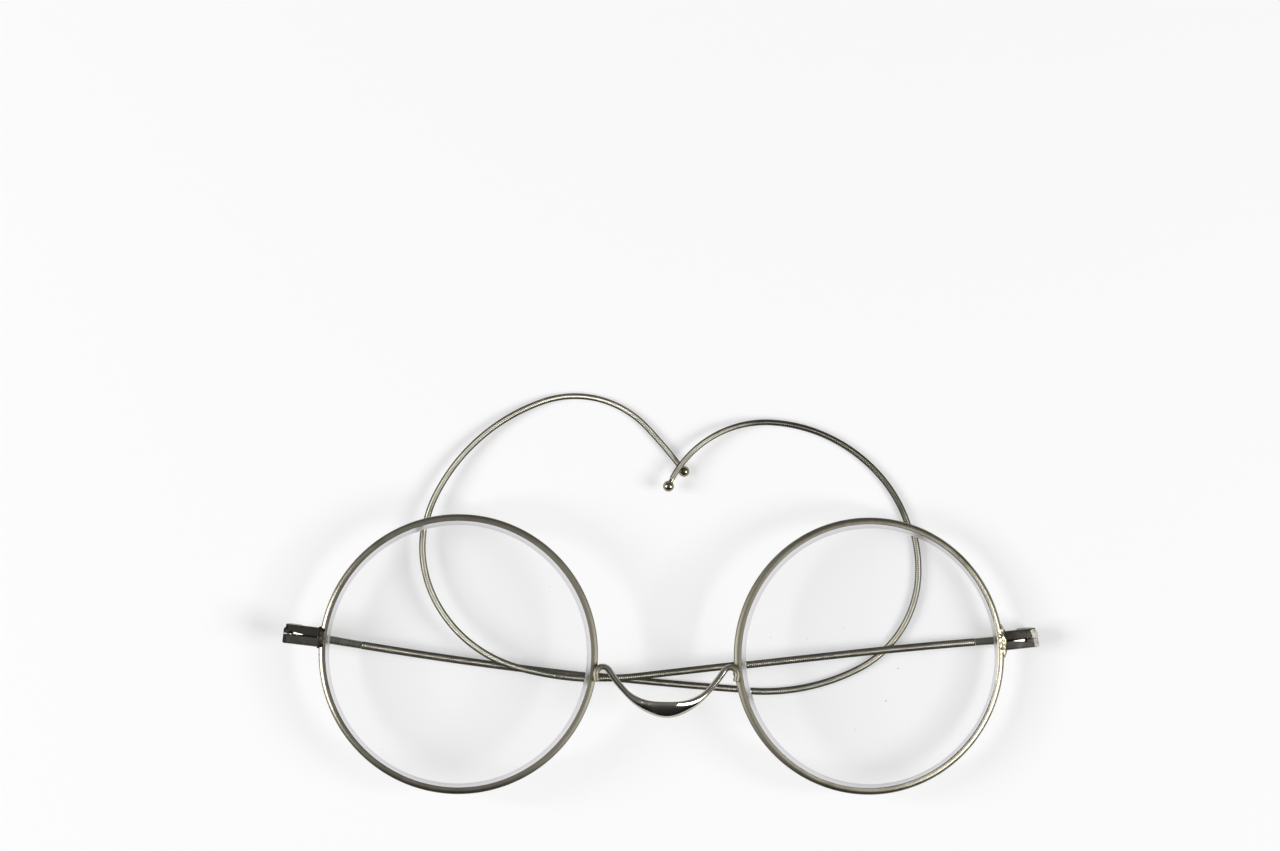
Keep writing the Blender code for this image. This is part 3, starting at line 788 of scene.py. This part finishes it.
def grime(word, run):
    """How far dirt dulls even the rubbed side, at a distance along a temple."""
    most = 0.0
    for low, high, amount in GRIMY_RUNS[word]:
        inside = min(run - low, high - run) / GRIME_FADE
        most = max(most, amount * min(1.0, max(0.0, inside)))
    return most


def wound_wire(name, bright, dull, dirt_and_shade_colour, polish):
    """Wound nickel silver wire: near black with dirt between the turns and painted shade on its sides."""
    metal = nickel_silver(name, bright, dull, polish)
    tree = metal.node_tree
    shader = tree.nodes["Principled BSDF"]
    shader.inputs["Specular Tint"].default_value = linear("#3A372E")
    tint = shader.inputs["Base Color"].links[0].from_socket
    dirt_and_side_shade = add(tree, "ShaderNodeAttribute", {"attribute_name": "dirt_and_side_shade"})
    colour = add(tree, "ShaderNodeMix", {"data_type": "RGBA", "B": linear(dirt_and_shade_colour)},
                 {"A": tint, "Factor": dirt_and_side_shade.outputs["Fac"]})
    tree.links.new(colour.outputs["Result"], shader.inputs["Base Color"])
    return metal


core_metal = nickel_silver("core_wire", "#8E887A", "#55503F", 0.35)
winding_metal = wound_wire("winding_wire", "#D8D4C2", "#B6B0A0", "#1E1C16", 0.28)
for word in SIDES:
    bends = TEMPLES[word][0]
    whole = sum(length for length, *_ in bends)
    start = BUTT_LENGTHS[word] + END_GAP
    stop = whole - TIP_LENGTH
    count = round((stop - start) / TURN_PITCH * TURN_STEPS)
    rings = []
    shade_and_dirt_values = []
    for i in range(count + 1):
        run = start + (stop - start) * i / count
        place = on_wire(bends, run)
        outside = WINDING_RADIUS + (WINDING_END_RADIUS - WINDING_RADIUS) * i / count
        depth = TURN_DEPTH + (TURN_END_DEPTH - TURN_DEPTH) * i / count
        row = []
        for k in range(WINDING_SIDES):
            angle = math.tau * k / WINDING_SIDES
            share = (run / TURN_PITCH - k / WINDING_SIDES) % 1.0
            off_crest = abs(2 * share - 1)
            radius = outside - depth * off_crest**2
            row.append(place @ Vector((0, radius * math.cos(angle), radius * math.sin(angle))))
            # Painted shade darkens the wire the further its surface turns from the top; the crest term is dirt
            # between the turns.
            side_shade = min(1.0, max(0.0, (SHADE_FROM - math.sin(angle)) / (SHADE_FROM - SHADE_FULL)))
            shade_and_dirt_values.append(max(off_crest**CREST_SHARPNESS, SIDE_SHADE * side_shade, grime(word, run)))
        rings.append(row)
    winding = skin(word + "_temple_cable", rings)
    winding.data.attributes.new("dirt_and_side_shade", "FLOAT", "POINT").data.foreach_set("value", shade_and_dirt_values)
    place = temple_place(word)
    seat(winding, place, word + "_temple", "cable_wire", winding_metal, word + "_temple_winding")
    if place.determinant() < 0:
        winding.data.flip_normals()
    core = frame["nodes"][word + "_temple_core"]
    core.data.materials.clear()
    core.data.materials.append(core_metal)

# Temple tips: a short neck and a ball of nickel silver, turned in one and brazed to the end of the core.
# The ball is wider than the winding and stands past its cut end, so that the end can't scratch the ear.
TIP_NECK = 0.35 * MM
TIP_BALL = 0.86 * MM
BALL_END = math.pi * 0.99
TIP_STEPS = 28
TIP_SIDES = 32

tip_metal = nickel_silver("tip_nickel_silver", "#A8A28C", "#7B7259", 0.14)
for word in SIDES:
    bends = TEMPLES[word][0]
    whole = sum(length for length, *_ in bends)
    middle = whole - TIP_BALL
    meets = math.asin(TIP_NECK / TIP_BALL)
    sizes = [(whole - TIP_LENGTH + END_GAP, TIP_NECK)]
    for i in range(TIP_STEPS + 1):
        angle = meets + (BALL_END - meets) * i / TIP_STEPS
        sizes.append((middle - TIP_BALL * math.cos(angle), TIP_BALL * math.sin(angle)))
    rings = [ring(on_wire(bends, run), size, size, TIP_SIDES) for run, size in sizes]
    tip = skin(word + "_ball_tip", rings)
    place = temple_place(word)
    seat(tip, place, word + "_temple", "frame_metal", tip_metal, word + "_temple_tip")
    if place.determinant() < 0:
        tip.data.flip_normals()

# Floor: a wide sheet of matt white paper under the pair. It glows a little to the eye and in metal and
# glass, so that the ground is pale and still takes the pair's shadow.
PAPER_SIZE = 8.0
PAPER_GLOW = 0.42

bpy.ops.object.select_all(action="DESELECT")
bpy.ops.mesh.primitive_plane_add(size=PAPER_SIZE)
paper = bpy.context.object
paper.name = "paper"
sheet = bpy.data.materials.new("white_paper")
sheet.use_nodes = True
sheet_shader = sheet.node_tree.nodes["Principled BSDF"]
sheet_shader.inputs["Base Color"].default_value = linear("#F7F7F7")
sheet_shader.inputs["Roughness"].default_value = 0.9
sheet_shader.inputs["Specular IOR Level"].default_value = 0.2
tree = sheet.node_tree
white = add(tree, "ShaderNodeEmission", {"Strength": 1.0}).outputs["Emission"]
pale = add(tree, "ShaderNodeMixShader", {"Fac": PAPER_GLOW}, {1: sheet_shader.outputs["BSDF"], 2: white})
rays = add(tree, "ShaderNodeLightPath").outputs
seen = sheet_shader.outputs["BSDF"]
for kind in ("Is Camera Ray", "Is Glossy Ray", "Is Transmission Ray"):
    mixed = add(tree, "ShaderNodeMixShader", None, {0: rays[kind], 1: seen, 2: pale.outputs["Shader"]})
    seen = mixed.outputs["Shader"]
tree.links.new(seen, tree.nodes["Material Output"].inputs["Surface"])
paper.data.materials.append(sheet)

# Light: two soft boxes, one at each end of the front, in a dim room. Its ceiling is grey, its walls are
# dark, and the side nearest the front is darkest.
BOX_SIZE = 0.45
# Azimuth and elevation in degrees, and power in watts.
BOXES = (
    ("right_soft_box", -12.0, 43.0, 6.7),
    ("left_soft_box", 182.0, 36.0, 7.7),
)
BOX_DISTANCE = 1.0

room = bpy.data.worlds.new("dim_room")
bpy.context.scene.world = room
room.use_nodes = True
sky = room.node_tree
around_room = add(sky, "ShaderNodeTexCoord").outputs["Generated"]
toward = add(sky, "ShaderNodeSeparateXYZ", None, {"Vector": around_room})
wall = add(sky, "ShaderNodeValToRGB", None, {"Fac": toward.outputs["Z"]})
wall.color_ramp.elements[0].position = 0.1
wall.color_ramp.elements[0].color = linear("#343432")
wall.color_ramp.elements[1].position = 1.0
wall.color_ramp.elements[1].color = linear("#8A8A8C")
near = add(sky, "ShaderNodeMapRange",
           {"interpolation_type": "SMOOTHSTEP", "From Min": -0.75, "From Max": 0.1, "To Min": 0.25,
            "To Max": 1.0},
           {"Value": toward.outputs["Y"]})
sky.links.new(wall.outputs["Color"], sky.nodes["Background"].inputs["Color"])
sky.links.new(near.outputs["Result"], sky.nodes["Background"].inputs["Strength"])
for name, azimuth, elevation, power in BOXES:
    lamp = bpy.data.lights.new(name, "AREA")
    lamp.size = BOX_SIZE
    lamp.energy = power
    box = bpy.data.objects.new(name, lamp)
    bpy.context.scene.collection.objects.link(box)
    around = math.radians(azimuth)
    above = math.radians(elevation)
    flat = math.cos(above)
    away = Vector((math.cos(around) * flat, math.sin(around) * flat, math.sin(above)))
    box.location = away * BOX_DISTANCE
    box.rotation_euler = away.to_track_quat("Z", "Y").to_euler()

# Camera: half a metre above the table, leaning a little to the left, with the pair in the lower half of
# the picture. Its lens is set from the size that one picture point has on the table.
CAMERA_DISTANCE = 500 * MM
CAMERA_LEAN = math.radians(3.0)
CAMERA_ROLL = math.radians(0.56)
CAMERA_TARGET = Vector((-3.85 * MM, 26.33 * MM, -0.12 * MM))
PICTURE_WIDTH = 1280
TABLE_SCALE = 0.1589 * MM
SENSOR_WIDTH = 36.0

camera = bpy.data.objects.new("camera", bpy.data.cameras.new("camera"))
bpy.context.scene.collection.objects.link(camera)
bpy.context.scene.camera = camera
camera.data.sensor_width = SENSOR_WIDTH
camera.data.lens = SENSOR_WIDTH * CAMERA_DISTANCE / TABLE_SCALE / PICTURE_WIDTH
camera.data.clip_start = 10 * MM
lean = Matrix.Rotation(-CAMERA_LEAN, 4, "Y")
aim = Matrix.Translation(CAMERA_TARGET) @ lean @ Matrix.Translation((0, 0, CAMERA_DISTANCE))
camera.matrix_world = aim @ Matrix.Rotation(CAMERA_ROLL, 4, "Z")
bpy.context.scene.view_settings.view_transform = "Standard"
